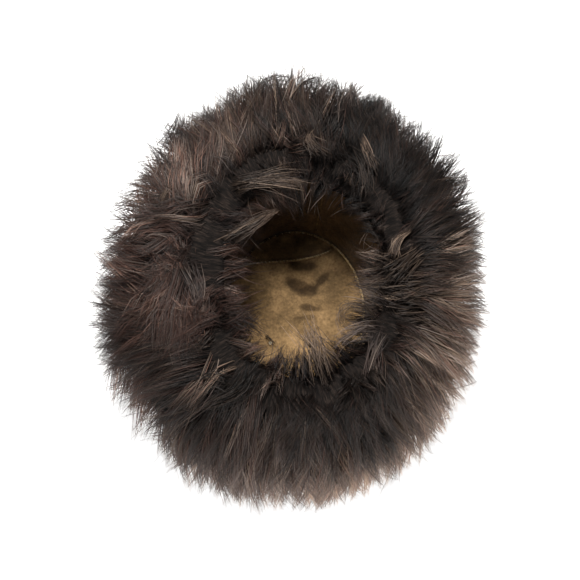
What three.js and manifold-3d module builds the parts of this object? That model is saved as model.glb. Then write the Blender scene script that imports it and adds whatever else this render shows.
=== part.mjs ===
// A fur hat of long-haired sheepskin, lying upside down on its crown with the head opening up.
// The skin's suede side is the inside of the hat, and its long fur is the outside.
// +Z is up, +Y is the back of the hat and +X its left side. Lengths are in millimetres.
import * as THREE from "three";
import { mergeVertices } from "three/addons/utils/BufferGeometryUtils.js";
import Module from "manifold-3d";

const wasm = await Module();
wasm.setup();

// The oval that the head goes into, inside the band at the rim
const openingWidth = 160;
const openingLength = 200;
// The oval of the crown, inside the band at the crown's seam
const crownWidth = 140;
const crownLength = 170;
// From the crown's inner face to the rim
const hollowDepth = 118;
// How far the band's wall swells out half-way up
const bandSwell = 5;
const skinThickness = 2.4;

// How far the fur reaches out from the skin all round, up over the rim, and in over the opening
const furReach = 107;
const furOverRim = 46;
const furOverOpening = 32;
// The fur of the crown, pressed flat between the skin and the surface that the hat lies on
const pressedFur = 32;
// How far the pressed fur spreads out from the band
const pressedSpread = 96;

// Raised ridges where two pieces of skin are sewn together, seen on the suede side
const ridgeWidth = 2.6;
const ridgeHeight = 1.8;

// Free space between two pieces that touch on the real hat
const clearance = 0.4;
// As much again below the crown's folds, where two faceted faces follow each other
const foldClearance = 0.5;
// How deep a lock of fur is rooted in the fur below it, as a share of its length
const rootedShare = 0.35;

// The height of the crown's inner face and of its outer face above the surface that the hat lies on
const crownInside = pressedFur + skinThickness;
const crownOutside = pressedFur;
// The oval of the crown's skin
const crownHalfAxes = { across: crownWidth / 2 - clearance, along: crownLength / 2 - clearance };

// The folds that the soft crown lies in. Places and sizes are shares of the crown's half-axes,
// depths are shares of the hollow's depth, and a fold is turned anticlockwise in degrees.
const crownFolds = [
  { across: 0.0, along: -0.05, wide: 0.75, long: 0.75, turn: 0, depth: 0.03 },
  { across: 0.09, along: 0.31, wide: 0.3, long: 0.11, turn: -12, depth: 0.024 },
  { across: 0.46, along: 0.42, wide: 0.24, long: 0.07, turn: 48, depth: 0.014 },
  { across: 0.19, along: 0.02, wide: 0.2, long: 0.08, turn: 4, depth: 0.016 },
  { across: -0.35, along: -0.45, wide: 0.3, long: 0.12, turn: 30, depth: 0.01 },
];

// The seam across the crown, where a small piece of skin is set on behind the large one.
// Places are shares of the crown's half-axes.
const crossSeamPath = [
  { across: -0.95, along: 0.57 },
  { across: -0.4, along: 0.6 },
  { across: 0.1, along: 0.645 },
  { across: 0.42, along: 0.72 },
  { across: 0.8, along: 0.9 },
];

// Where the band's closing seam is, in degrees anticlockwise from the hat's left side
const sideSeamBearing = 74;

// How the fur's reach differs round the hat, as it lies: bearings in degrees and shares of furReach
const furOutline = [
  { bearing: 0, reach: 0.857 },
  { bearing: 22.5, reach: 0.95 },
  { bearing: 45, reach: 1.0 },
  { bearing: 67.5, reach: 1.005 },
  { bearing: 90, reach: 1.09 },
  { bearing: 112.5, reach: 1.02 },
  { bearing: 135, reach: 1.01 },
  { bearing: 157.5, reach: 1.02 },
  { bearing: 180, reach: 0.985 },
  { bearing: 202.5, reach: 1.05 },
  { bearing: 225, reach: 1.005 },
  { bearing: 247.5, reach: 1.02 },
  { bearing: 270, reach: 0.945 },
  { bearing: 292.5, reach: 0.895 },
  { bearing: 315, reach: 0.87 },
  { bearing: 337.5, reach: 0.885 },
];

// How far the fur leans in over the opening round the hat, in shares of furOverOpening
const furLean = [
  { bearing: 0, lean: 0.5 },
  { bearing: 45, lean: 0.5 },
  { bearing: 90, lean: 0.55 },
  { bearing: 135, lean: 0.4 },
  { bearing: 180, lean: 1.0 },
  { bearing: 225, lean: 0.55 },
  { bearing: 270, lean: 0.65 },
  { bearing: 315, lean: 0.55 },
];

// Where the fur of the band parts from the crown's fur below it. out is a share of furReach, and up is a
// share of pressedFur above the surface that the hat lies on.
const furParting = [
  { out: 0, up: 1 },
  { out: 0.12, up: 0.76 },
  { out: 0.32, up: 0.6 },
  { out: 0.68, up: 0.44 },
];

// The dense fur of the band in section, from there round the outside to the rim. out is a share of
// furReach. height is a share of the hollow's depth up to the rim, and rise one of furOverRim above it.
const bandFurSection = [
  { out: 0.75, height: -0.02, rise: 0 },
  { out: 0.8, height: 0.2, rise: 0 },
  { out: 0.82, height: 0.47, rise: 0 },
  { out: 0.82, height: 0.75, rise: 0 },
  { out: 0.78, height: 0.95, rise: 0 },
  { out: 0.65, height: 1, rise: 0.38 },
  { out: 0.43, height: 1, rise: 0.62 },
  { out: 0.2, height: 1, rise: 0.62 },
  { out: 0.04, height: 1, rise: 0.5 },
];

// The same fur inside the rim, from above down to it. lean is a share of the fur's lean at a bearing.
const mouthFurSection = [
  { lean: 0.26, rise: 0.38 },
  { lean: 0.32, rise: 0.22 },
  { lean: 0.2, rise: 0.08 },
];

// The foot of the crown's fur in section. out is a share of pressedSpread, and up is one of pressedFur.
const footSection = [
  { out: 0.35, up: 0 },
  { out: 0.82, up: 0 },
  { out: 0.92, up: 0.14 },
];

// The locks of the band, a row for each ring of them. root and tip say where a lock starts and ends.
// out is a share of furReach, or of furOverOpening where it leans in over the opening.
const bandLockRows = [
  { count: 12, wide: 0.52, rootOut: 0.56, rootHeight: 0.12, tipOut: 0.96, tipHeight: -0.1, rise: 0, sweep: 9 },
  { count: 13, wide: 0.53, rootOut: 0.58, rootHeight: 0.3, tipOut: 1.0, tipHeight: 0.08, rise: 0, sweep: -10 },
  { count: 15, wide: 0.5, rootOut: 0.58, rootHeight: 0.48, tipOut: 1.02, tipHeight: 0.28, rise: 0, sweep: 11 },
  { count: 15, wide: 0.5, rootOut: 0.58, rootHeight: 0.66, tipOut: 1.02, tipHeight: 0.5, rise: 0, sweep: -11 },
  { count: 15, wide: 0.48, rootOut: 0.56, rootHeight: 0.82, tipOut: 1.02, tipHeight: 0.73, rise: 0, sweep: 12 },
  { count: 14, wide: 0.46, rootOut: 0.5, rootHeight: 0.98, tipOut: 1.01, tipHeight: 0.95, rise: 0, sweep: -12 },
  { count: 12, wide: 0.44, rootOut: 0.36, rootHeight: 1.08, tipOut: 0.88, tipHeight: 1, rise: 0.56, sweep: 12 },
  { count: 10, wide: 0.4, rootOut: 0.2, rootHeight: 1.12, tipOut: 0.62, tipHeight: 1, rise: 0.92, sweep: -10 },
  { count: 7, wide: 0.36, rootOut: 0.06, rootHeight: 1.08, tipOut: 0.28, tipHeight: 1, rise: 1.0, sweep: 10 },
];

// The locks that lean in over the opening from the rim
const mouthLocks = { count: 13, wide: 0.24, rootOut: 0.12, rise: 0.78, sweep: -9 };

// The locks of the crown's fur that are spread out flat round the foot of the hat
const footLocks = { count: 15, wide: 0.46, sweep: 7, thick: 0.36 };

// How fine each piece is
const bandSteps = 40;
const crownSteps = 32;
const crownRings = 6;
const ridgeSteps = 44;
const lockSides = 4;
const lockSteps = 3;
// The heights of the wall's rows, as shares of the hollow's depth
const wallShares = [0, 0.2, 0.4, 0.6, 0.8, 1];
// The radius of a ring before its rows are moved to their places
const plainRadius = 100;

const suedeLight = new THREE.MeshStandardMaterial({ color: 0x8d6b42, roughness: 0.92, metalness: 0 });
const suedeDim = new THREE.MeshStandardMaterial({ color: 0x7c5f3c, roughness: 0.92, metalness: 0 });
const ridgeMaterial = new THREE.MeshStandardMaterial({ color: 0xb1966a, roughness: 0.85, metalness: 0 });
const furMaterial = new THREE.MeshStandardMaterial({ color: 0x4b3d38, roughness: 0.8, metalness: 0 });

const { lerp, clamp, degToRad } = THREE.MathUtils;

// The oval of the band's inner face at a height above the crown's inner face
function bandHalfAxes(height) {
  const share = clamp(height / hollowDepth, 0, 1);
  const swell = bandSwell * Math.sin(Math.PI * share);
  return {
    across: lerp(crownWidth, openingWidth, share) / 2 + swell,
    along: lerp(crownLength, openingLength, share) / 2 + swell,
  };
}

// The point at a bearing round the hat and a height above the crown's inner face, that lies out from
// the band's inner face, square to its oval
function bandPoint(bearing, height, out) {
  const { across, along } = bandHalfAxes(height);
  const normal = new THREE.Vector2(Math.cos(bearing) * along, Math.sin(bearing) * across).normalize();
  return new THREE.Vector3(
    Math.cos(bearing) * across + normal.x * out,
    Math.sin(bearing) * along + normal.y * out,
    crownInside + height,
  );
}

// How far the crown sags at a point of it. Its sewn edge stays level.
function crownSag(pointX, pointY) {
  const across = pointX / crownHalfAxes.across;
  const along = pointY / crownHalfAxes.along;
  const edge = 1 - Math.min(1, across * across + along * along) ** 3;
  let sag = 0;
  for (const fold of crownFolds) {
    const turn = degToRad(fold.turn);
    const x = across - fold.across;
    const y = along - fold.along;
    const u = (x * Math.cos(turn) + y * Math.sin(turn)) / fold.wide;
    const v = (y * Math.cos(turn) - x * Math.sin(turn)) / fold.long;
    sag += fold.depth * hollowDepth * Math.exp(-u * u - v * v);
  }
  return sag * edge;
}

// A column of a table of evenly spaced bearings, read smoothly at a bearing
function readAround(table, column, bearing) {
  const turn = ((bearing / (2 * Math.PI)) % 1 + 1) % 1;
  const place = turn * table.length;
  const from = Math.floor(place) % table.length;
  const to = (from + 1) % table.length;
  const share = (1 - Math.cos(Math.PI * (place - Math.floor(place)))) / 2;
  return lerp(table[from][column], table[to][column], share);
}

// How far the fur reaches out at a bearing
function reachAt(bearing) {
  return furReach * readAround(furOutline, "reach", bearing);
}

// How far the fur leans in over the opening at a bearing
function leanAt(bearing) {
  return furOverOpening * readAround(furLean, "lean", bearing);
}

// A number from -1 to 1 that differs from lock to lock in the same way each time
function vary(row, index) {
  const wave = Math.sin(row * 12.9898 + index * 78.233) * 43758.5453;
  return 2 * (wave - Math.floor(wave)) - 1;
}

// Moves each vertex of a geometry to where place() puts it
function reshape(geometry, place) {
  const position = geometry.getAttribute("position");
  const point = new THREE.Vector3();
  for (let i = 0; i < position.count; i += 1) {
    const moved = place(point.fromBufferAttribute(position, i));
    position.setXYZ(i, moved.x, moved.y, moved.z);
  }
  return geometry;
}

// A profile of (radius, height) points turned round +Z
function turned(profile, steps) {
  const points = profile.map(({ radius, height }) => new THREE.Vector2(radius, height));
  return new THREE.LatheGeometry(points, steps).rotateX(Math.PI / 2);
}

// Where a row of a section lies at a bearing: out follows the fur's reach there, lean its lean, and add
// neither
function rowPoint({ out = 0, lean = 0, add = 0, height }, bearing) {
  return bandPoint(bearing, height, (out * reachAt(bearing)) / furReach - lean * leanAt(bearing) + add);
}

// A closed section of rows carried round the band
function aroundBand(rows, steps) {
  const profile = rows.map((_, number) => ({ radius: plainRadius, height: number }));
  return reshape(turned([...profile, profile[0]], steps), (vertex) =>
    rowPoint(rows[Math.round(vertex.z)], Math.atan2(vertex.y, vertex.x)),
  );
}

// A solid whose section of rows starts and ends on the hat's axis. Rows with a share lie within the
// crown's oval, and the rest lie round the band.
function discSolid(rows, steps) {
  const profile = rows.map(({ axis }, number) => ({ radius: axis ? 0 : plainRadius, height: number }));
  const disc = reshape(turned(profile, steps), (vertex) => {
    const row = rows[Math.round(vertex.z)];
    const bearing = Math.atan2(vertex.y, vertex.x);
    if (!row.axis && row.share === undefined) {
      return rowPoint(row, bearing);
    }
    const share = row.axis ? 0 : row.share;
    const x = Math.cos(bearing) * share * crownHalfAxes.across;
    const y = Math.sin(bearing) * share * crownHalfAxes.along;
    const sag = row.sags ? crownSag(x, y) + row.spare * (1 - share ** 2) : 0;
    return new THREE.Vector3(x, y, crownInside + row.height - sag);
  });
  return solidOf(disc);
}

// A geometry as a solid that can be joined and cut
function solidOf(geometry) {
  const bare = geometry.index ? geometry.toNonIndexed() : geometry.clone();
  bare.deleteAttribute("normal");
  bare.deleteAttribute("uv");
  const merged = mergeVertices(bare, 1e-4);
  const vertProperties = new Float32Array(merged.getAttribute("position").array);
  const triVerts = new Uint32Array(merged.index.array);
  return new wasm.Manifold(new wasm.Mesh({ numProp: 3, vertProperties, triVerts }));
}

// A solid as a geometry again
function geometryOf(solid) {
  const { vertProperties, triVerts } = solid.getMesh();
  const geometry = new THREE.BufferGeometry();
  geometry.setAttribute("position", new THREE.BufferAttribute(new Float32Array(vertProperties), 3));
  geometry.setIndex(new THREE.BufferAttribute(new Uint32Array(triVerts), 1));
  geometry.computeVertexNormals();
  return geometry;
}

// Joins solids two by two, so that no join is much larger than it has to be
function joined(solids) {
  let parts = solids;
  while (parts.length > 1) {
    const next = [];
    for (let i = 0; i < parts.length; i += 2) {
      next.push(i + 1 < parts.length ? parts[i].add(parts[i + 1]) : parts[i]);
    }
    parts = next;
  }
  return parts[0];
}

// One lock of fur: a flat tapering tuft along a curve from root past bend to tip
function lockSolid(root, bend, tip, width, thickness) {
  const curve = new THREE.QuadraticBezierCurve3(root, bend, tip);
  const cone = new THREE.ConeGeometry(1, 1, lockSides, lockSteps);
  const chord = tip.clone().sub(root);
  const side = new THREE.Vector3(-root.y, root.x, 0).cross(chord).cross(chord).normalize();
  reshape(cone, (vertex) => {
    const share = vertex.y + 0.5;
    const along = curve.getTangent(share);
    const across = side.clone().addScaledVector(along, -side.dot(along)).normalize();
    const up = across.clone().cross(along);
    const fullness = 1 - share ** 3.2;
    const turn = Math.atan2(vertex.z, vertex.x);
    const onAxis = Math.hypot(vertex.x, vertex.z) < 1e-6;
    const spread = onAxis ? 0 : fullness;
    return curve
      .getPoint(share)
      .addScaledVector(across, (Math.cos(turn) * spread * width) / 2)
      .addScaledVector(up, (Math.sin(turn) * spread * thickness) / 2);
  });
  return solidOf(cone);
}

// A height in the fur: a share of the hollow's depth, and a share of furOverRim above it
function furHeight(share, rise) {
  return share * hollowDepth + rise * furOverRim;
}

// One ring of locks on the band
function bandLocks(row, number) {
  const locks = [];
  for (let i = 0; i < row.count; i += 1) {
    const bearing = ((i + (number % 2) / 2 + 0.25 * vary(number, i)) / row.count) * 2 * Math.PI;
    const reach = reachAt(bearing);
    const tipOut = row.tipOut * reach * (1 - 0.045 * (1 + vary(number + 20, i)));
    const tipBearing = bearing + degToRad(row.sweep * vary(number + 40, i));
    const rootHeight = furHeight(row.rootHeight, 0);
    const tipHeight = furHeight(row.tipHeight, row.rise);
    const root = bandPoint(bearing, rootHeight, row.rootOut * reach);
    const tip = bandPoint(tipBearing, tipHeight, tipOut);
    const bendOut = lerp(row.rootOut * reach, tipOut, 0.6);
    const bend = bandPoint(bearing, lerp(rootHeight, tipHeight, 0.35), bendOut);
    const width = row.wide * furReach * (1.25 + 0.3 * vary(number + 60, i));
    locks.push(lockSolid(root, bend, tip, width, width * 0.6));
  }
  return locks;
}

// The ring of locks that lean in over the opening
function openingLocks() {
  const { count, wide, rootOut, rise, sweep } = mouthLocks;
  const locks = [];
  for (let i = 0; i < count; i += 1) {
    const bearing = ((i + 0.3 * vary(90, i)) / count) * 2 * Math.PI;
    const tipBearing = bearing + degToRad(sweep * vary(91, i));
    const tipOut = -leanAt(bearing) * (0.95 + 0.05 * vary(92, i));
    const root = bandPoint(bearing, furHeight(1, 0.25), rootOut * furReach);
    const bend = bandPoint(bearing, furHeight(1, rise), 0);
    const tip = bandPoint(tipBearing, furHeight(1, rise * 0.9), tipOut);
    const width = wide * furReach * (1.2 + 0.3 * vary(93, i));
    locks.push(lockSolid(root, bend, tip, width, width * 0.6));
  }
  return locks;
}

// The side band: one strip of skin sewn into a ring, with the head opening at its rim
function sideBand() {
  const heights = [-skinThickness, ...wallShares.map((share) => share * hollowDepth)];
  const inside = heights.map((height) => ({ out: 0, height }));
  const outside = heights.map((height) => ({ add: skinThickness, height }));
  return solidOf(aroundBand([...outside, ...inside.reverse()], bandSteps));
}

// Where the two furs part, from the outside in, moved up or down by a distance. It runs on level past
// the reach of every lock where it is asked for.
function partingRows(shift, past) {
  const rows = furParting.map(({ out, up }) => ({
    out: out * furReach,
    add: skinThickness + clearance,
    height: up * pressedFur + shift - crownInside,
  }));
  return [...(past ? [{ ...rows.at(-1), out: 2 * furReach }] : []), ...rows.reverse()];
}

// The skin, what it holds, and all below the band's fur, so that no lock of the band is rooted in it
function clearOfBandFur() {
  const add = skinThickness + clearance / 2;
  const rows = [
    { axis: true, height: -2 * crownInside },
    { out: 2 * furReach, add, height: -2 * crownInside },
    ...partingRows(clearance / 2, true),
    ...wallShares.map((share) => ({ out: 0, add, height: share * hollowDepth })),
    { out: 0, add, height: hollowDepth + clearance / 2 },
    { axis: true, height: hollowDepth + clearance / 2 },
  ];
  return discSolid(rows, bandSteps);
}

// The fur of the side band: dense fur round the skin and over its rim, with locks on it
function bandFur() {
  const inner = skinThickness + clearance;
  const overRim = hollowDepth + clearance;
  const outside = bandFurSection.map(({ out, height, rise }) => ({
    out: out * furReach,
    height: furHeight(height, rise),
  }));
  const profile = [
    ...partingRows(clearance, false).reverse(),
    ...outside.slice(0, -1).map((point) => ({ ...point, add: inner })),
    { ...outside.at(-1), add: 0 },
    ...mouthFurSection.map(({ lean, rise }) => ({ out: 0, lean, height: furHeight(1, rise) })),
    { out: 0, add: 0, height: overRim },
    { out: 0, add: inner, height: overRim },
    ...wallShares.slice(1, -1).reverse().map((share) => ({ out: 0, add: inner, height: share * hollowDepth })),
  ];
  const backing = aroundBand(profile, bandSteps);
  const room = clearOfBandFur();
  const locks = bandLockRows.flatMap((row, number) => bandLocks(row, number));
  return joined([solidOf(backing), ...[...locks, ...openingLocks()].map((lock) => lock.subtract(room))]);
}

// Rows from the hat's axis to the edge of the crown's skin
function crownRows(row) {
  return Array.from({ length: crownRings + 1 }, (_, i) => ({ ...row, axis: i === 0, share: i / crownRings }));
}

// The crown's skin in one plate, sagging in its folds, before it is cut along the seam across it
function crownPlate() {
  const below = crownRows({ height: -skinThickness, sags: true, spare: 0 });
  const above = crownRows({ height: 0, sags: true, spare: 0 });
  return discSolid([...below, ...above.reverse()], crownSteps);
}

// The seam across the crown as a flat curve
function crossSeamCurve() {
  const points = crossSeamPath.map(
    ({ across, along }) => new THREE.Vector3((across * crownWidth) / 2, (along * crownLength) / 2, 0),
  );
  return new THREE.CatmullRomCurve3(points);
}

// A block that holds all that lies behind the seam across the crown, moved by a distance along +Y
function behindCrossSeam(shift) {
  const curve = crossSeamCurve();
  const steps = 16;
  const far = crownLength;
  const first = curve.getPoint(0);
  const last = curve.getPoint(1);
  const outline = new THREE.Shape();
  outline.moveTo(-far, first.y + shift);
  for (let i = 0; i <= steps; i += 1) {
    const { x, y } = curve.getPoint(i / steps);
    outline.lineTo(x, y + shift);
  }
  outline.lineTo(far, last.y + (far - last.x) * 0.4 + shift);
  outline.lineTo(far, 2 * far);
  outline.lineTo(-far, 2 * far);
  const block = new THREE.ExtrudeGeometry(outline, { depth: 4 * pressedFur, bevelEnabled: false });
  return solidOf(block.translate(0, 0, -pressedFur));
}

// The fur of the crown, pressed flat under the skin and spread out in locks round the foot of the hat
function crownFur() {
  const floor = -crownInside;
  const add = skinThickness + clearance;
  const top = crownRows({ height: -skinThickness - clearance, sags: true, spare: foldClearance });
  const foot = footSection.map(({ out, up }) => ({ out: out * pressedSpread, add, height: floor + up * pressedFur }));
  const pad = discSolid(
    [...crownRows({ height: floor }), ...foot, ...partingRows(-clearance, false), ...top.reverse()],
    crownSteps,
  );
  const below = discSolid(
    [
      { axis: true, height: floor },
      { out: 2 * furReach, add, height: floor },
      ...partingRows(-clearance, true),
      { axis: true, height: floor + pressedFur / 2 },
    ],
    crownSteps,
  );
  return joined([pad, ...pressedLocks().map((lock) => lock.intersect(below))]);
}

// The locks spread flat round the foot of the hat
function pressedLocks() {
  const { count, wide, sweep, thick } = footLocks;
  const locks = [];
  for (let i = 0; i < count; i += 1) {
    const bearing = ((i + 0.3 * vary(70, i)) / count) * 2 * Math.PI;
    const tipBearing = bearing + degToRad(sweep * vary(71, i));
    const tipOut = pressedSpread * (0.94 + 0.06 * vary(72, i));
    const width = wide * furReach * (1.2 + 0.3 * vary(73, i));
    const root = bandPoint(bearing, 0.35 * pressedFur - crownInside, 0);
    const bend = bandPoint(bearing, 0.3 * pressedFur - crownInside, tipOut * rootedShare * 1.6);
    const tip = bandPoint(tipBearing, 0.06 * pressedFur - crownInside, tipOut);
    locks.push(lockSolid(root, bend, tip, width, width * thick));
  }
  return locks;
}

// The ridge round the crown, where its pieces are sewn to the band
function crownRidge() {
  const near = -clearance;
  const far = near - ridgeWidth;
  const foot = clearance;
  const profile = [
    { out: near, height: foot },
    { out: near, height: foot + ridgeHeight * 0.6 },
    { out: (near + far) / 2, height: foot + ridgeHeight },
    { out: far, height: foot + ridgeHeight * 0.4 },
    { out: far, height: foot },
  ];
  return aroundBand(profile, ridgeSteps);
}

// The section of a ridge that runs along a line, with its foot at 0
function ridgeSection() {
  const half = ridgeWidth / 2;
  const section = new THREE.Shape();
  section.moveTo(0, -half);
  section.lineTo(0, half);
  section.lineTo(ridgeHeight * 0.6, half * 0.7);
  section.lineTo(ridgeHeight, 0);
  section.lineTo(ridgeHeight * 0.6, -half * 0.7);
  return section;
}

// A ridge along a curve, with its foot on the side that foot() says at each share of the way
function ridgeAlong(curve, steps, foot) {
  const section = ridgeSection();
  const ridge = new THREE.ExtrudeGeometry(section, { depth: 1, steps, bevelEnabled: false });
  return reshape(ridge, ({ x, y, z }) => {
    const up = foot(z);
    const along = curve.getTangent(z);
    const across = up.clone().cross(along).normalize();
    return curve.getPoint(z).addScaledVector(up, x).addScaledVector(across, -y);
  });
}

// The ridge of the seam across the crown, between the two ends of the ridge round the crown
function crossRidge() {
  const flat = crossSeamCurve();
  const steps = 14;
  const gap = 2 * clearance;
  const inset = clearance + ridgeWidth + gap + ridgeWidth / 2;
  const limit = 1 - (2 * inset) / Math.min(crownWidth, crownLength);
  const shares = Array.from({ length: 401 }, (_, i) => i / 400).filter((share) => {
    const { x, y } = flat.getPoint(share);
    return Math.hypot((2 * x) / crownWidth, (2 * y) / crownLength) < limit;
  });
  const points = [];
  for (let i = 0; i <= steps; i += 1) {
    const share = lerp(shares[0], shares.at(-1), i / steps);
    const { x, y } = flat.getPoint(share);
    points.push(new THREE.Vector3(x, y, crownInside + gap - crownSag(x, y)));
  }
  const curve = new THREE.CatmullRomCurve3(points);
  return ridgeAlong(curve, steps, () => new THREE.Vector3(0, 0, 1));
}

// The ridge of the band's closing seam, up the inside of the wall
function sideRidge() {
  const bearing = degToRad(sideSeamBearing);
  const foot = ridgeHeight + 3 * clearance;
  const steps = 9;
  const points = [];
  for (let i = 0; i <= steps; i += 1) {
    const height = lerp(foot, hollowDepth - clearance, i / steps);
    points.push(bandPoint(bearing, height, -2 * clearance));
  }
  const outward = bandPoint(bearing, 0, 1).sub(bandPoint(bearing, 0, 0));
  const curve = new THREE.CatmullRomCurve3(points);
  return ridgeAlong(curve, steps, () => outward.clone().negate());
}

function piece(name, geometry, material) {
  const mesh = new THREE.Mesh(geometry, material);
  mesh.name = name;
  return mesh;
}

const plate = crownPlate();
const hat = new THREE.Group();
hat.add(piece("side_band", geometryOf(sideBand()), suedeDim));
hat.add(piece("crown_main", geometryOf(plate.subtract(behindCrossSeam(-clearance / 2))), suedeLight));
hat.add(piece("crown_segment", geometryOf(plate.intersect(behindCrossSeam(clearance / 2))), suedeLight));
hat.add(piece("crown_seam", crownRidge(), ridgeMaterial));
hat.add(piece("cross_seam", crossRidge(), ridgeMaterial));
hat.add(piece("side_seam", sideRidge(), ridgeMaterial));
hat.add(piece("band_fur", geometryOf(bandFur()), furMaterial));
hat.add(piece("crown_fur", geometryOf(crownFur()), furMaterial));

// The origin is the middle of the hat's base, on the surface that it lies on
const box = new THREE.Box3().setFromObject(hat);
const middle = box.getCenter(new THREE.Vector3());
hat.position.set(-middle.x, -middle.y, -box.min.z);

export default hat;
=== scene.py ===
"""A fur hat of long-haired sheepskin that lies upside down on its crown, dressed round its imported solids.

Lengths in the tables and functions are millimetres, and everything is placed from the solids' boxes.
"""
import math

import bpy
import numpy as np
from mathutils import Matrix, Vector


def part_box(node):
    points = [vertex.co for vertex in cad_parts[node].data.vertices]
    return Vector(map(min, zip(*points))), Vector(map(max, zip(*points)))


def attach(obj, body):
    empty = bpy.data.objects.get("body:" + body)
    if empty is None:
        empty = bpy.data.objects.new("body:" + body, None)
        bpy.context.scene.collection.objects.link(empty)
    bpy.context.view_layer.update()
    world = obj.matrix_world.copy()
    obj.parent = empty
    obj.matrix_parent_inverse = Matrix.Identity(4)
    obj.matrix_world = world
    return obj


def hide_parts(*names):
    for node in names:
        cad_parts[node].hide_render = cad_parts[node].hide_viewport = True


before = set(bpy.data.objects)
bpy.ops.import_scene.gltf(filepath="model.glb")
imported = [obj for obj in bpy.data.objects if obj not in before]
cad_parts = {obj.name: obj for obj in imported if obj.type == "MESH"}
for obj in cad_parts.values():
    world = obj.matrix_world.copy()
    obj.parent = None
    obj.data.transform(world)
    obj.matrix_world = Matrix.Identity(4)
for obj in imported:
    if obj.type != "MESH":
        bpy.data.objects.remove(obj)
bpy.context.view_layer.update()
scene = bpy.context.scene
rng = np.random.default_rng(20417)
MM = 0.001

# The hat's own places, from the solids
crown_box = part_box("crown_seam")
band_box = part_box("side_band")
SKIN = 2.4
CX = (crown_box[0].x + crown_box[1].x) / 2 / MM
CY = (crown_box[0].y + crown_box[1].y) / 2 / MM
CROWN_Z = band_box[0].z / MM + SKIN
RIM_Z = band_box[1].z / MM
DEPTH = RIM_Z - CROWN_Z
CROWN_HALF = (70.0, 85.0)
RIM_HALF = (80.0, 100.0)
SWELL = 5.0

# Where round the hat, in degrees, the fur is curliest and reddest, and the skin and its seam carry painted
# shade
CURLY_SIDE = 170
REDDISH_SIDE = 185
SHADED_WALL_SIDE = 125
DARK_SEAM_SIDE = 130

# Steps that spread locks evenly over t and round the hat at once, as shares of each
STEP_T = 0.5698402910
STEP_ROUND = 0.7548776662

# How the fur's reach differs round the hat, evenly spaced from the right round by the far side, as shares
# of the reach in FUR_STATIONS. They are fitted to the outline in the photo.
REACH = [
    0.855, 0.947, 1.008, 0.985, 1.1, 0.985, 1.02, 1.045, 1.02, 1.075, 1.02, 1.0, 0.935, 0.91, 0.87, 0.868,
]

# The paths that hairs take, by where they are rooted. t is 0 at the crown's seam, 1 at the rim, and above
# 1 for hairs that stand up or lean in over the opening. Each point is (out from the band, height).
FUR_STATIONS = [
    # t, root, second, third, tip
    (0.00, (3, 27), (36, 22), (70, 9), (97, 3)),
    (0.12, (3, 46), (40, 44), (78, 32), (103, 15)),
    (0.35, (3, 74), (42, 79), (84, 70), (107, 44)),
    (0.60, (3, 106), (42, 115), (82, 108), (108, 82)),
    (0.80, (3, 130), (38, 143), (80, 140), (108, 116)),
    (0.92, (3, 146), (30, 163), (74, 166), (107, 142)),
    (1.00, (1, 155), (16, 178), (58, 189), (102, 162)),
    (1.08, (0, 156), (11, 180), (42, 197), (84, 178)),
    (1.16, (0, 156), (6, 178), (26, 197), (58, 192)),
    (1.24, (0, 156), (1, 174), (6, 190), (16, 200)),
    (1.31, (0, 156), (-4, 171), (-14, 184), (-30, 184)),
    (1.40, (0, 155.5), (-6, 166), (-20, 176), (-40, 169)),
    (1.50, (0, 155), (-6, 160), (-19, 162), (-38, 150)),
]

# What varies round the hat, each list evenly spaced from the right round by the far side:
# how far hair leans in over the opening, how much of it does, and how far its dark roots show
LEAN = [1.1, 0.65, 0.65, 1.05, 1.25, 1.1, 0.85, 1.1, 1.25, 1.1, 0.7, 0.85, 1.0, 0.95, 0.9, 1.15]
CROWD = [1.5, 0.9, 0.9, 1.5, 1.7, 1.4, 0.9, 1.4, 1.5, 1.4, 1.0, 1.4, 1.7, 1.4, 1.1, 1.5]
ROOTS = [1.6, 2.4, 3.8, 3.2, 2.4, 1.8, 1.3, 1.6, 1.5, 1.3, 1.5, 2.8, 4.2, 4.0, 3.0, 2.2]

# How far outside the rim the hair parts, in millimetres, evenly spaced as above
PARTING = [0, 5, 12, 18, 22, 20, 16, 16, 17, 12, 6, 0, 0, 0, 0, 0]

# Spots of lighter and darker fur; the darker spots at t 1.42, on the hair that leans in over the opening, are
# painted shade
SPOTS = [
    # degrees, t, wide in degrees, tall, tone
    (350, 0.8, 45, 0.25, 0.26), (312, 0.75, 38, 0.25, 0.2), (262, 0.75, 38, 0.25, 0.18),
    (165, 0.8, 26, 0.3, 0.04), (350, 1.0, 24, 0.1, 0.22), (45, 1.04, 34, 0.14, -0.42),
    (202, 0.98, 22, 0.14, -0.2), (272, 1.16, 30, 0.14, -0.45), (120, 1.12, 26, 0.14, 0.02),
    (20, 1.14, 26, 0.16, -0.34), (298, 1.14, 20, 0.14, -0.3), (246, 1.0, 16, 0.12, -0.06),
    (194, 0.86, 14, 0.1, -0.12), (140, 0.9, 26, 0.22, -0.1), (88, 0.97, 32, 0.24, -0.18),
    (45, 0.78, 26, 0.14, 0.12), (90, 1.42, 50, 0.14, -0.42), (40, 1.42, 34, 0.14, -0.45),
    (285, 1.42, 40, 0.14, -0.45), (330, 1.42, 26, 0.14, -0.25), (16, 1.42, 16, 0.14, -0.16),
    (352, 1.42, 14, 0.14, 0.1), (180, 1.1, 30, 0.14, -0.12), (228, 1.03, 15, 0.2, -0.34),
    (72, 1.08, 16, 0.12, -0.12),
]

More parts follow.
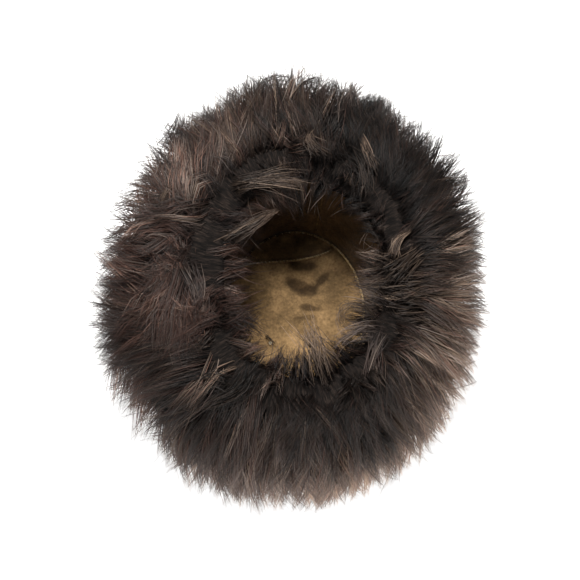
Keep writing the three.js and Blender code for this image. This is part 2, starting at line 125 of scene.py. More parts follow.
# Locks that stand out in the photo, at places read off it and turned into millimetres: (x, y, height) from
# the rim's middle, then hairs, spread at root and tip, width, tone and hue
LOCKS = [
    ([(-62, 28, 186), (-45, 38, 190), (-31, 49, 186), (-21, 57, 180)], 51, 6, 1.2, 0.4, 0.62, 0),
    ([(61, -42, 180), (50, -30, 184), (36, -31, 184), (31, -41, 182), (35, -50, 180), (44, -51, 178),
      (50, -43, 177)],
     26, 4, 3.5, 0.2, 0.56, 0),
    ([(64, -50, 184), (53, -50, 190), (41, -54, 190), (31, -60, 188), (25, -68, 184)],
     37, 4.5, 2.5, 0.26, 0.66, 2),
    ([(66, -56, 184), (54, -56, 188), (42, -61, 188), (35, -70, 184)], 24, 5, 4, 0.22, 0.4, 0),
    ([(16, -84, 184), (10, -70, 188), (6, -60, 188), (3, -50, 184)], 94, 9, 4.5, 0.3, 0.8, 0),
    ([(-58, 76, 186), (-38, 81, 188), (-18, 82, 188), (2, 78, 184)], 94, 4, 4, 0.3, 0.6, 0),
    ([(-30, -25, 37), (-25, -30, 40), (-19, -35, 38)], 7, 0.7, 0.7, 0.3, 0.02, 0),
    ([(63, -58, 188), (59, -71, 186), (55, -87, 180), (51, -106, 170)], 51, 4, 1.6, 0.4, 0.58, 2),
    ([(61, -87, 182), (69, -103, 172), (72, -118, 160)], 42, 5, 2, 0.4, 0.58, 2),
    ([(-65, -100, 186), (-81, -94, 188), (-91, -102, 182), (-98, -111, 176)], 42, 4, 4, 0.3, 0.08, 0),
    ([(-45, -91, 190), (-57, -105, 184), (-82, -114, 176), (-102, -109, 170)], 51, 7, 5, 0.3, 0.1, 0),
    ([(-110, 81, 184), (-118, 71, 186), (-123, 59, 180), (-117, 51, 176)], 42, 4, 1.5, 0.4, 0.62, 0),
    ([(-91, 79, 186), (-96, 69, 186), (-99, 59, 180)], 34, 4, 1.5, 0.4, 0.6, 0),
    ([(11, 104, 196), (4, 114, 196), (7, 128, 190)], 31, 4, 1.5, 0.4, 0.58, 0),
    ([(61, 91, 194), (56, 106, 194), (51, 125, 188)], 34, 4, 2, 0.4, 0.56, 0),
    ([(42, 138, 180), (40, 162, 172), (50, 183, 165)], 68, 9, 5, 0.4, 0.62, 2),
    ([(-99, 5, 182), (-121, 0, 180), (-141, 1, 170), (-163, 13, 158)], 60, 6, 3, 0.4, 0.52, 2),
    ([(-99, 1, 186), (-91, -19, 188), (-89, -35, 182), (-78, -51, 176)], 51, 6, 2, 0.4, 0.56, 2),
    ([(-82, -62, 184), (-95, -71, 180), (-116, -73, 172)], 42, 5, 2, 0.4, 0.54, 0),
    ([(76, 13, 188), (81, 27, 190), (95, 39, 184)], 31, 3, 1.2, 0.4, 0.66, 0),
    ([(80, -65, 182), (98, -69, 176), (108, -81, 168), (101, -97, 160)], 31, 3, 1.5, 0.35, 0.64, 0),
    ([(82, -17, 188), (110, -7, 178), (135, 14, 166), (155, 38, 156)], 68, 7, 4, 0.4, 0.62, 0),
    ([(82, -26, 186), (110, -26, 176), (134, -20, 165), (161, -9, 150)], 68, 7, 4, 0.4, 0.58, 0),
    ([(78, -2, 188), (97, 15, 182), (121, 36, 172), (148, 61, 160)], 68, 7, 4, 0.4, 0.6, 0),
    ([(-57, -41, 180), (-44, -48, 178), (-30, -57, 172)], 24, 4, 2.5, 0.3, 0.06, 2),
    ([(-18, -88, 184), (-20, -80, 184), (-22, -69, 180)], 26, 6, 3, 0.32, 0.06, 2),
    ([(-3, -92, 184), (-5, -81, 184), (-6, -70, 180)], 26, 6, 3, 0.32, 0.06, 2),
    ([(-41, 165, 166), (-36, 181, 166), (-24, 191, 164), (-12, 191, 162), (-5, 182, 162)],
     26, 4, 2.5, 0.3, 0.3, 0),
    ([(-6, 166, 166), (1, 184, 164), (14, 191, 162), (23, 186, 160)], 24, 4, 3, 0.3, 0.26, 2),
    ([(34, 158, 168), (44, 176, 164), (47, 194, 160)], 34, 5, 1.5, 0.3, 0.3, 0),
    ([(25, 162, 168), (31, 180, 164), (29, 195, 160)], 29, 5, 1.5, 0.3, 0.26, 2),
    ([(60, 146, 168), (71, 162, 164), (73, 179, 160)], 37, 6, 1.5, 0.34, 0.24, 0),
    ([(130, 76, 160), (145, 90, 156), (153, 108, 152)], 34, 6, 1.5, 0.34, 0.28, 1),
    ([(-118, 124, 166), (-113, 142, 162), (-111, 158, 156)], 34, 6, 2, 0.34, 0.3, 2),
    ([(-78, 71, 188), (-85, 83, 190), (-94, 87, 188), (-101, 81, 184), (-99, 71, 182)],
     34, 4, 3.5, 0.28, 0.48, 2),
    ([(-63, 90, 188), (-72, 100, 190), (-82, 99, 188), (-87, 89, 184)], 34, 4, 3.5, 0.28, 0.46, 2),
    ([(-101, 29, 186), (-113, 37, 188), (-126, 37, 184), (-133, 28, 178)], 37, 4, 2.5, 0.3, 0.44, 1),
    ([(-108, -28, 186), (-122, -31, 184), (-130, -42, 178), (-124, -51, 174)], 37, 4, 2.5, 0.3, 0.42, 1),
    ([(43, 108, 192), (51, 93, 194), (54, 77, 192), (51, 63, 188)], 51, 6, 5, 0.3, 0.12, 0),
    ([(77, 6, 178), (65, 12, 182), (52, 15, 182), (42, 20, 178)], 26, 5, 3, 0.24, 0.5, 0),
    ([(78, -11, 180), (66, -10, 184), (52, -11, 182), (39, -6, 176)], 26, 6, 3, 0.24, 0.5, 0),
    ([(76, -25, 180), (62, -22, 184), (50, -17, 182), (40, -12, 178)], 26, 5, 3, 0.24, 0.46, 2),
]


def around(table, bearing):
    """A table of values evenly spaced round the hat, read smoothly at bearings in radians."""
    values = np.array(table, float)
    place = (np.asarray(bearing) / (2 * math.pi)) % 1 * len(values)
    low = np.floor(place).astype(int) % len(values)
    share = (1 - np.cos(np.pi * (place - np.floor(place)))) / 2
    return values[low] * (1 - share) + values[(low + 1) % len(values)] * share


def turned(bearing, degrees):
    """The angle from a direction in degrees to bearings in radians, the shorter way round."""
    return np.angle(np.exp(1j * (bearing - math.radians(degrees))))


def wall(bearing, height, out):
    """Points that lie out from the band's inner face, at heights above the floor."""
    share = np.clip((height - CROWN_Z) / DEPTH, 0, 1)
    swell = SWELL * np.sin(np.pi * share)
    a = CROWN_HALF[0] + (RIM_HALF[0] - CROWN_HALF[0]) * share + swell
    b = CROWN_HALF[1] + (RIM_HALF[1] - CROWN_HALF[1]) * share + swell
    cos, sin = np.cos(bearing), np.sin(bearing)
    length = np.hypot(cos * b, sin * a)
    return np.stack(
        [CX + cos * a + cos * b / length * out, CY + sin * b + sin * a / length * out, height + 0 * out], -1
    )


def spread_by(table, share):
    """Bearings for shares 0 to 1 of a whole turn, closer together where a table is high."""
    bearing = np.linspace(0, 2 * math.pi, 721)
    weight = around(table, bearing)
    total = np.concatenate([[0], np.cumsum((weight[1:] + weight[:-1]) / 2)])
    return np.interp(share * total[-1], total, bearing)


def spots(table, bearing, t):
    """The sum of a table's soft spots at each bearing and t."""
    total = 0
    for degrees, level, wide, tall, size in table:
        turn = np.degrees(turned(bearing, degrees))
        total = total + size * np.exp(-((turn / wide) ** 2) - ((t - level) / tall) ** 2)
    return total


def between(a, b, c, d, s):
    """A smooth line from b to c at shares s, which comes from a and goes on to d."""
    return 0.5 * (2 * b + (c - a) * s + (2 * a - 5 * b + 4 * c - d) * s**2 + (3 * b - a - 3 * c + d) * s**3)


def curve(places, share):
    """A smooth line through places (n, 3), read at shares 0 to 1."""
    p = np.asarray(places, float)
    p = np.concatenate([[2 * p[0] - p[1]], p, [2 * p[-1] - p[-2]]])
    at = np.clip(share, 0, 1) * (len(p) - 3)
    i = np.minimum(at.astype(int), len(p) - 4)
    s = (at - i)[:, None]
    return between(p[i], p[i + 1], p[i + 2], p[i + 3], s)


def smooth_noise(seed, waves=7, scale=1.0):
    """A smooth field of numbers about -1 to 1 over (bearing, t), that closes round the hat."""
    own = np.random.default_rng(seed)
    turns = own.integers(1, 9, waves)
    rises = own.uniform(-5, 5, waves) * scale
    phases = own.uniform(0, 2 * math.pi, waves)
    sizes = 1 / np.sqrt(turns)

    def field(bearing, t):
        total = 0
        for turn, rise, phase, size in zip(turns, rises, phases, sizes):
            total = total + size * np.sin(turn * bearing + rise * t + phase)
        return total / np.sqrt((sizes**2).sum())

    return field


def fur_path(bearing, t, v):
    """(out, height) of a hair's path at share v of its length, for arrays of the same shape."""
    ts = np.array([row[0] for row in FUR_STATIONS])
    points = np.array([row[1:] for row in FUR_STATIONS], float)
    at = np.clip(t, ts[0], ts[-1])
    control = np.stack([[np.interp(at, ts, points[:, i, j]) for j in range(2)] for i in range(4)])
    w = [(1 - v) ** 3, 3 * v * (1 - v) ** 2, 3 * v**2 * (1 - v), v**3]
    out = sum(w[i] * control[i, 0] for i in range(4))
    height = sum(w[i] * control[i, 1] for i in range(4))
    out = np.where(out > 3, 3 + (out - 3) * around(REACH, bearing), out)
    out = np.where(out < 0, out * around(LEAN, bearing), out)
    return out, height


def mesh_object(name, verts, faces, material, uv=None, smooth=True, map_name="OFBake", shade=None):
    """A mesh from arrays: verts (n, 3), faces (m, 3 or 4), and how dark the suede is at each vertex."""
    me = bpy.data.meshes.new(name)
    verts = np.asarray(verts, np.float32) * MM
    faces = np.asarray(faces, np.int32)
    me.vertices.add(len(verts))
    me.vertices.foreach_set("co", verts.ravel())
    me.loops.add(faces.size)
    me.loops.foreach_set("vertex_index", faces.ravel())
    me.polygons.add(len(faces))
    me.polygons.foreach_set("loop_start", np.arange(0, faces.size, faces.shape[1], dtype=np.int32))
    me.polygons.foreach_set("use_smooth", np.full(len(faces), smooth))
    if uv is not None:
        layer = me.uv_layers.new(name=map_name)
        layer.uv.foreach_set("vector", np.asarray(uv, np.float32).ravel())
    if shade is not None:
        me.attributes.new("shade", "FLOAT", "POINT").data.foreach_set("value", np.asarray(shade, np.float32))
    me.update(calc_edges=True)
    me.validate()
    ob = bpy.data.objects.new(name, me)
    scene.collection.objects.link(ob)
    me.materials.append(material)
    return ob


def ring_grid(rows, columns, closed_section):
    """Faces of a grid of rows by columns that closes round the columns, and round the rows if asked."""
    last = rows if closed_section else rows - 1
    r, c = np.meshgrid(np.arange(last), np.arange(columns), indexing="ij")
    r2, c2 = (r + 1) % rows, (c + 1) % columns
    corners = [r * columns + c, r * columns + c2, r2 * columns + c2, r2 * columns + c]
    return np.stack(corners, -1).reshape(-1, 4)


def turned_outward(verts, faces):
    """The faces, turned over if the closed solid they make is inside out."""
    v = np.asarray(verts)[np.asarray(faces)[:, :3]]
    volume = np.einsum("ij,ij->i", v[:, 0], np.cross(v[:, 1], v[:, 2])).sum()
    if np.asarray(faces).shape[1] == 4:
        w = np.asarray(verts)[np.asarray(faces)[:, [0, 2, 3]]]
        volume += np.einsum("ij,ij->i", w[:, 0], np.cross(w[:, 1], w[:, 2])).sum()
    return faces if volume > 0 else np.asarray(faces)[:, ::-1]


def new_material(name):
    """A new material with its nodes, links and shader."""
    material = bpy.data.materials.new(name)
    material.use_nodes = True
    nodes, links = material.node_tree.nodes, material.node_tree.links
    shader = nodes["Principled BSDF"]
    return material, nodes, links, shader


def ramp(nodes, stops):
    """A colour ramp with stops of (place, linear colour)."""
    node = nodes.new("ShaderNodeValToRGB")
    elements = node.color_ramp.elements
    while len(elements) > 1:
        elements.remove(elements[-1])
    elements[0].position, elements[0].color = stops[0][0], (*stops[0][1], 1)
    for place, colour in stops[1:]:
        element = elements.new(place)
        element.color = (*colour, 1)
    return node


def srgb(r, g, b):
    """Linear colour from 0 to 255 numbers."""
    def one(c):
        c /= 255
        return c / 12.92 if c <= 0.04045 else ((c + 0.055) / 1.055) ** 2.4

    return one(r), one(g), one(b)


def noise_texture(nodes, links, vector, scale, detail, roughness=0.5, distortion=0.0):
    """The values of a noise texture over a vector."""
    noise = nodes.new("ShaderNodeTexNoise")
    noise.inputs["Scale"].default_value = scale
    noise.inputs["Detail"].default_value = detail
    noise.inputs["Roughness"].default_value = roughness
    noise.inputs["Distortion"].default_value = distortion
    links.new(vector, noise.inputs["Vector"])
    return noise.outputs[0]


def multiplied(nodes, links, one, other):
    """The product of two colours."""
    mix = nodes.new("ShaderNodeMix")
    mix.data_type, mix.blend_type = "RGBA", "MULTIPLY"
    mix.inputs["Factor"].default_value = 1.0
    links.new(one, mix.inputs["A"])
    links.new(other, mix.inputs["B"])
    return mix.outputs["Result"]


def bumped(nodes, links, shader, height, strength, distance):
    """Gives a shader the small relief of a height."""
    bump = nodes.new("ShaderNodeBump")
    bump.inputs["Strength"].default_value = strength
    bump.inputs["Distance"].default_value = distance
    links.new(height, bump.inputs["Height"])
    links.new(bump.outputs[0], shader.inputs["Normal"])


TONES = 40  # steps from dark to light in each of the fur's three hues
HUES = 3


def fur_material():
    """Hair: tone and hue from the map's first direction, darker towards the root along its second."""
    material, nodes, links, shader = new_material("fur_hair")
    uv = nodes.new("ShaderNodeUVMap")
    uv.uv_map = "OFBake"
    parts = nodes.new("ShaderNodeSeparateXYZ")
    links.new(uv.outputs["UV"], parts.inputs[0])
    third = 1 / 3
    tone = ramp(nodes, [
        (0.0, srgb(14, 11, 10)), (third * 0.55, srgb(84, 70, 61)), (third - 0.002, srgb(178, 154, 134)),
        (third + 0.002, srgb(18, 12, 11)), (third * 1.55, srgb(90, 66, 58)),
        (2 * third - 0.002, srgb(168, 132, 116)),
        (2 * third + 0.002, srgb(16, 13, 13)), (third * 2.55, srgb(84, 72, 68)), (1.0, srgb(180, 162, 150)),
    ])
    links.new(parts.outputs["X"], tone.inputs[0])
    along = ramp(nodes, [
        (0.0, (0.1, 0.092, 0.088)), (0.25, (0.2, 0.19, 0.185)), (0.5, (0.52, 0.51, 0.5)),
        (0.75, (0.85, 0.84, 0.83)), (1.0, (1.0, 0.98, 0.96)),
    ])
    links.new(parts.outputs["Y"], along.inputs[0])
    links.new(multiplied(nodes, links, tone.outputs[0], along.outputs[0]), shader.inputs["Base Color"])
    shader.inputs["Roughness"].default_value = 0.5
    shader.inputs["Specular IOR Level"].default_value = 0.25
    return material


def under_material():
    """Dense fur seen between the strands: dark, with fine streaks along the hair."""
    material, nodes, links, shader = new_material("fur_depth")
    uv = nodes.new("ShaderNodeUVMap")
    uv.uv_map = "Hair"
    grain = nodes.new("ShaderNodeMapping")
    grain.inputs["Scale"].default_value = (14, 1.0, 1)
    links.new(uv.outputs["UV"], grain.inputs["Vector"])
    streak = noise_texture(nodes, links, grain.outputs[0], 5, 7, 0.65, 0.6)
    tint = ramp(nodes, [
        (0.36, srgb(8, 7, 7)), (0.5, srgb(25, 21, 19)), (0.62, srgb(46, 38, 34)), (0.75, srgb(74, 63, 56)),
    ])
    links.new(streak, tint.inputs[0])
    links.new(tint.outputs[0], shader.inputs["Base Color"])
    bumped(nodes, links, shader, streak, 0.9, 0.004)
    shader.inputs["Roughness"].default_value = 0.85
    shader.inputs["Specular IOR Level"].default_value = 0.12
    return material


def suede_material():
    """Suede: clouded and mottled, with a fine nap."""
    material, nodes, links, shader = new_material("suede")
    place = nodes.new("ShaderNodeTexCoord").outputs["Object"]
    cloud = noise_texture(nodes, links, place, 26, 8, 0.62)
    nap = noise_texture(nodes, links, place, 420, 4)
    mottle = noise_texture(nodes, links, place, 120, 6, 0.6, 0.8)
    base = ramp(nodes, [
        (0.3, srgb(86, 68, 44)), (0.45, srgb(116, 93, 63)), (0.58, srgb(140, 113, 78)),
        (0.72, srgb(168, 137, 98)),
    ])
    links.new(cloud, base.inputs[0])
    height = nodes.new("ShaderNodeMath")
    height.operation = "ADD"
    links.new(nap, height.inputs[0])
    links.new(mottle, height.inputs[1])
    half = nodes.new("ShaderNodeMath")
    half.operation = "MULTIPLY"
    half.inputs[1].default_value = 0.5
    links.new(height.outputs[0], half.inputs[0])
    fine = ramp(nodes, [(0.38, (0.7, 0.68, 0.66)), (0.5, (0.94, 0.94, 0.94)), (0.62, (1.2, 1.18, 1.16))])
    links.new(half.outputs[0], fine.inputs[0])
    colour = multiplied(nodes, links, base.outputs[0], fine.outputs[0])
    links.new(darkened(nodes, links, colour, (0.13, 0.115, 0.1)), shader.inputs["Base Color"])
    bumped(nodes, links, shader, height.outputs[0], 0.6, 0.0015)
    shader.inputs["Roughness"].default_value = 0.9
    shader.inputs["Specular IOR Level"].default_value = 0.15
    shader.inputs["Sheen Weight"].default_value = 0.15
    return material


def darkened(nodes, links, colour, low):
    """A colour that turns darker, down to a share low, where the mesh has its shade."""
    shade = nodes.new("ShaderNodeAttribute")
    shade.attribute_name = "shade"
    dark = ramp(nodes, [(0.0, (1, 1, 1)), (1.0, low)])
    links.new(shade.outputs["Fac"], dark.inputs[0])
    return multiplied(nodes, links, colour, dark.outputs[0])


def plain_noise_material(name, low, high, scale, roughness):
    """A material that is clouded between two colours."""
    material, nodes, links, shader = new_material(name)
    place = nodes.new("ShaderNodeTexCoord").outputs["Object"]
    tint = ramp(nodes, [(0.32, srgb(*low)), (0.68, srgb(*high))])
    links.new(noise_texture(nodes, links, place, scale, 5), tint.inputs[0])
    links.new(darkened(nodes, links, tint.outputs[0], (0.16, 0.14, 0.12)), shader.inputs["Base Color"])
    shader.inputs["Roughness"].default_value = roughness
    return material


FUR = fur_material()
DEPTH_FUR = under_material()
SUEDE = suede_material()
EDGE = plain_noise_material("raw_edge", (128, 104, 70), (196, 168, 122), 500, 0.85)
THREAD = plain_noise_material("thread", (176, 158, 128), (226, 212, 186), 900, 0.7)

# How the fur's direction, rise, tone and hue drift round the hat
swirl_field = smooth_noise(5, 9)
rise_field = smooth_noise(8, 9, 1.6)
tone_field = smooth_noise(13, 12, 2.0)
hue_field = smooth_noise(21, 6)


def strand_mesh(name, points, radius, hue, tone, v_at, material=FUR):
    """Closed tapered three-sided tubes along points (n, k, 3). radius is (n,), v_at is (n, k)."""
    n, k, _ = points.shape
    along = np.empty_like(points)
    along[:, 1:-1] = points[:, 2:] - points[:, :-2]
    along[:, 0] = points[:, 1] - points[:, 0]
    along[:, -1] = points[:, -1] - points[:, -2]
    along /= np.linalg.norm(along, axis=-1, keepdims=True) + 1e-9
    first = np.tile(rng.normal(size=(n, 1, 3)), (1, k, 1))
    side = np.cross(along, first)
    side /= np.linalg.norm(side, axis=-1, keepdims=True) + 1e-9
    up = np.cross(along, side)
    rings = k - 1
    share = np.linspace(0, 1, k)[:rings]
    taper = 1 - 0.72 * share**1.6
    size = radius[:, None] * taper[None, :]
    angles = np.arange(3) * 2 * math.pi / 3
    ring = (
        points[:, :rings, None, :]
        + size[..., None, None] * np.cos(angles)[None, None, :, None] * side[:, :rings, None, :]
        + size[..., None, None] * np.sin(angles)[None, None, :, None] * up[:, :rings, None, :]
    )
    verts = np.concatenate([ring.reshape(n, rings * 3, 3), points[:, -1:, :]], 1)
    per = rings * 3 + 1
    faces, place = [], []
    for r in range(rings - 1):
        for s in range(3):
            a, b = r * 3 + s, r * 3 + (s + 1) % 3
            c, d = a + 3, b + 3
            faces += [(a, b, d), (a, d, c)]
            place += [((s, r), (s + 1, r), (s + 1, r + 1)), ((s, r), (s + 1, r + 1), (s, r + 1))]
    for s in range(3):
        a, b = (rings - 1) * 3 + s, (rings - 1) * 3 + (s + 1) % 3
        faces.append((a, b, per - 1))
        place.append(((s, rings - 1), (s + 1, rings - 1), (s + 0.5, rings)))
    faces.append((2, 1, 0))
    place.append(((0, 0), (1.5, 0.2), (3, 0)))
    faces, place = np.array(faces), np.array(place, float)
    all_faces = (faces[None] + (np.arange(n) * per)[:, None, None]).reshape(-1, 3)
    column = np.clip(np.floor(tone * TONES), 0, TONES - 1) + hue * TONES
    u = (column[:, None, None] + 0.1 + 0.8 * place[None, :, :, 0] / 3) / (TONES * HUES)
    row = place[:, :, 1]
    low = np.floor(row).astype(int)
    part = row - low
    high = np.minimum(low + 1, k - 1)
    v = v_at[:, low] * (1 - part)[None] + v_at[:, high] * part[None]
    v = 0.01 + 0.98 * v
    uv = np.stack([u, v], -1)
    return mesh_object(name, verts.reshape(-1, 3), all_faces, material, uv)


def hair_points(lock, clump, own, v, wave):
    """Points (n, k, 3) of hairs. lock, clump and own hold bearing and t, or their differences, of each."""
    bearing = (
        lock["bearing"][:, None]
        + (lock["turn"] + clump["turn"])[:, None] * v**1.3
        + clump["bearing"][:, None] * (1 - clump["hold"][:, None] * v**1.2)
        + own["bearing"][:, None] * (1 - own["hold"][:, None] * v**1.5)
    )
    t = (
        lock["t"][:, None]
        + lock["rise"][:, None] * v**1.3
        + clump["t"][:, None] * (1 - clump["hold"][:, None] * v**1.2)
        + own["t"][:, None] * (1 - own["hold"][:, None] * v**1.5)
    )
    stretch = (lock["length"] * clump["length"] * own["length"])[:, None]
    out, height = fur_path(bearing, t, v * np.minimum(stretch, 1.1))
    parted = around(PARTING, bearing) * np.clip((t - 0.93) / 0.1, 0, 1) * np.clip(1 - v, 0, 1) ** 1.4
    base = wall(bearing, height + 0.7 * parted, out + parted)
    turns, phase, size = (wave[key][:, None] for key in ("turns", "phase", "size"))
    swing = np.sin(turns * v * 2 * math.pi + phase) * size * v
    lift = np.cos(turns * v * 2 * math.pi * 0.8 + phase * 1.7) * size * v
    tangent = np.stack([-np.sin(bearing), np.cos(bearing), 0 * bearing], -1)
    outward = np.stack([np.cos(bearing) * 0.5, np.sin(bearing) * 0.5, 0.8 + 0 * bearing], -1)
    points = base + tangent * swing[..., None] + outward * (0.6 * lift)[..., None]
    points[..., 2] = np.maximum(points[..., 2], 1.2 + 1.5 * rng.random((len(v), 1)))
    return points


def fur_piece(name, count, t_range, clumps, hairs, rings, start, width, crowd=(1.0,)):
    """One piece of fur: count locks spread over t_range, each of clumps of hairs."""
    total = count * clumps * hairs
    order = np.arange(count) + rng.random()
    t = t_range[0] + (t_range[1] - t_range[0]) * (order * STEP_T % 1)
    bearing = spread_by(crowd, order * STEP_ROUND % 1) + rng.normal(0, 0.03, count)
    left = np.exp(-turned(bearing, CURLY_SIDE) ** 2 / 0.8)
    free = np.where(t > 1.25, 0.5, 1.0)
    lock = {
        "bearing": bearing,
        "t": t,
        "turn": np.radians(
            9 * np.sin(2 * bearing)
            + free * (6 * swirl_field(bearing, t * 3) * (1 + 2 * left) + rng.normal(0, 6 + 8 * left, count))
        ),
        "rise": 0.05 * rise_field(bearing, t * 4) * (1 + left) + rng.normal(0, 0.035, count),
        "length": np.clip(rng.normal(0.97, 0.06, count), 0.78, 1.07),
    }
    tone = 0.47 + 0.11 * tone_field(bearing, t * 3) + rng.normal(0, 0.1, count) + spots(SPOTS, bearing, t)
    hue_at = hue_field(bearing, t)
    red = np.exp(-(turned(bearing, REDDISH_SIDE) ** 2) / 0.25)
    index = np.repeat(np.arange(count), clumps * hairs)
    clump_index = np.repeat(np.arange(count * clumps), hairs)
    clump_values = {
        "bearing": rng.normal(0, 0.08, count * clumps),
        "t": rng.normal(0, 0.045, count * clumps),
        "hold": rng.uniform(0.3, 0.85, count * clumps),
        "turn": np.radians(rng.normal(0, 3.5, count * clumps)),
        "length": rng.normal(0.985, 0.035, count * clumps),
    }
    uneven = 0.07 + 0.1 * np.clip((t[index] - 0.98) / 0.1, 0, 1)
    fine = {
        "bearing": rng.normal(0, 0.03, total),
        "t": rng.normal(0, 0.022, total),
        "hold": rng.uniform(0.55, 1.0, total),
        "length": 1.02 - np.abs(rng.normal(0, 1, total)) * uneven,
    }
    curliness = np.repeat(left, clumps)
    wave = {
        "turns": (rng.uniform(0.5, 1.2, count * clumps) * (1 + 0.4 * curliness))[clump_index],
        "phase": rng.uniform(0, 2 * math.pi, count * clumps)[clump_index] + rng.normal(0, 0.25, total),
        "size": np.abs(rng.normal(2.2 + 3.6 * curliness, 1.6))[clump_index] + rng.normal(0, 0.5, total),
    }
    v = start + (1 - start) * np.linspace(0, 1, rings + 1)[None, :] * np.ones((total, 1))
    points = hair_points(
        {key: value[index] for key, value in lock.items()},
        {key: value[clump_index] for key, value in clump_values.items()},
        fine, v, wave,
    )
    streaks = (0.12 + 0.07 * np.repeat(1 - left, clumps)) * rng.normal(0, 1, count * clumps)
    hair_tone = np.clip(tone[index] + streaks[clump_index] + rng.normal(0, 0.08, total), 0, 0.999)
    bright = rng.random(total) < 0.03
    hair_tone = np.where(bright, np.clip(hair_tone + 0.25, 0, 0.999), hair_tone)
    chance = rng.random(total)
    hue = np.where(chance < 0.2 + 0.6 * red[index], 1, 0)
    hue = np.where(chance > 0.75 - 0.3 * np.clip(hue_at[index], 0, 1), 2, hue)
    radius = width * rng.uniform(0.7, 1.25, total)
    near_rim = np.clip((t[index] - 0.8) / 0.2, 0, 1)
    power = 1 + (around(ROOTS, bearing)[index] - 1) * near_rim
    ob = strand_mesh(name, points, radius, hue, hair_tone, v ** power[:, None])
    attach(ob, "root")


def styled_locks(name):
    """The locks of LOCKS, each a bundle of hairs along its own curve."""
    joints = 8
    share = np.linspace(0, 1, joints)
    lines, radius, hues, tones, along = [], [], [], [], []
    for places, hairs, root, tip, width, tone, hue in LOCKS:
        middle = curve(places, share)
        start = rng.normal(0, root, (hairs, 1, 3)) * (1, 1, 0.5)
        end = rng.normal(0, tip, (hairs, 1, 3)) * (1, 1, 0.5)
        end = end * np.where(rng.random((hairs, 1, 1)) < 0.25, 2.2, 1.0)
        bow = rng.normal(0, 1.8, (hairs, 1, 3))
        s = share[None, :, None]
        length = np.clip(rng.normal(0.93, 0.09, hairs), 0.6, 1.0)
        own = np.stack([curve(places, share * one) for one in length])
        lines.append(own + start * (1 - s) ** 1.4 + end * s + bow * np.sin(math.pi * s) + (CX, CY, 0))
        radius.append(width * rng.uniform(0.75, 1.2, hairs))
        hues.append(np.full(hairs, hue))
        tones.append(np.clip(0.85 * tone + rng.normal(0, 0.16, hairs), 0, 0.999))
        along.append(np.tile(0.22 + 0.78 * share, (hairs, 1)))
    ob = strand_mesh(name, *(np.concatenate(part) for part in (lines, radius, hues, tones, along)))
    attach(ob, "root")


def curly_hairs(name, count):
    """Single curly hairs that stand out of the fur, most of them along its far and upper edge."""
    joints = 8
    share = np.linspace(0, 1, joints)
    bearing = spread_by((0.5, 0.8, 2.2, 1.2, 1.3, 1.2, 0.8, 0.6), rng.random(count))
    level = rng.choice((0.7, 0.85, 0.95, 1.02, 1.36, 1.44), count, p=(0.18, 0.25, 0.25, 0.16, 0.08, 0.08))
    t = level + rng.normal(0, 0.03, count)
    v = 0.45 + 0.63 * share[None, :] * rng.uniform(0.85, 1.0, (count, 1))
    turn = np.radians(rng.normal(0, 16, count))[:, None] * v
    out, height = fur_path(bearing[:, None] + turn, t[:, None] + 0 * v, v)
    base = wall(bearing[:, None] + turn, height, out)
    around_axis = rng.uniform(0.6, 1.5, (count, 1)) * 2 * math.pi * v + rng.uniform(0, 6.3, (count, 1))
    size = rng.uniform(1.5, 5.5, (count, 1)) * share[None, :]
    tangent = np.stack([-np.sin(bearing), np.cos(bearing), 0 * bearing], -1)[:, None, :]
    outward = np.stack([np.cos(bearing), np.sin(bearing), 0.6 + 0 * bearing], -1)[:, None, :]
    swing, lift = np.sin(around_axis) * size, np.cos(around_axis) * size
    points = base + tangent * swing[..., None] + outward * lift[..., None]
    points[..., 2] = np.maximum(points[..., 2], 1.5)
    tone = np.clip(rng.normal(0.22, 0.16, count), 0, 0.999)
    ob = strand_mesh(name, points, rng.uniform(0.3, 0.5, count), rng.integers(0, 3, count), tone, v)
    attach(ob, "root")


def hair_map(faces, columns, rows):
    """The place of each corner of a grid's faces round the hat and along the hair."""
    column, row = faces % columns, faces // columns
    wraps = (column.max(1, keepdims=True) - column.min(1, keepdims=True)) > columns / 2
    column = np.where(wraps & (column < columns / 2), column + columns, column)
    return np.stack([column / columns * 8, row / rows * 4], -1).reshape(-1, 2)


def fur_mass():
    """The dense fur below the strands, closed round the skin from the crown's seam over the rim."""
    columns, levels = 330, 43
    bearing = np.linspace(0, 2 * math.pi, columns, endpoint=False)
    own = np.random.default_rng(77)
    ridge = np.convolve(np.tile(own.normal(0, 1, columns), 3), [0.25, 0.5, 0.25], "same")[columns:2 * columns]
    broad = smooth_noise(78, 14, 1.5)
    rows = []
    for t in np.linspace(0.03, 1.5, levels):
        tt = np.full(columns, t)
        drift = bearing + 0.25 * swirl_field(bearing, t * 3)
        lean = np.interp(drift % (2 * math.pi), np.append(bearing, 2 * math.pi), np.append(ridge, ridge[0]))
        depth = np.interp(t, (0, 0.7, 0.95, 1.1, 1.5), (0.66, 0.62, 0.46, 0.4, 0.34))
        depth = depth * (1 + 0.07 * lean + 0.07 * broad(bearing, t * 6))
        out, height = fur_path(bearing, tt, depth)
        rows.append(wall(bearing, height, out))
    inner = SKIN + 0.5
    above, middle, below = RIM_Z + 0.5, CROWN_Z + DEPTH / 2, CROWN_Z - 1
    for out, height in ((-1.0, above), (inner, above), (inner, middle), (inner, below)):
        rows.append(wall(bearing, np.full(columns, height), np.full(columns, out)))
    verts = np.concatenate(rows)
    faces = turned_outward(verts, ring_grid(len(rows), columns, True))
    uv = hair_map(faces, columns, len(rows))
    ob = mesh_object("fur_depth_band", verts, faces, DEPTH_FUR, uv, map_name="Hair")
    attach(ob, "root")
    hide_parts("band_fur")


# The pad that the hat lies on, in section from below round its edge: (out from the band, height)
PAD_SECTION = [
    (-20, 0), (40, 0), (70, 0), (82, 4.5), (64, 13), (37, 16.5), (12, 22), (3, 29.5), (-4, 29.5), (-20, 24.5),
]
PAD_MIDDLE_HEIGHT = 21.0


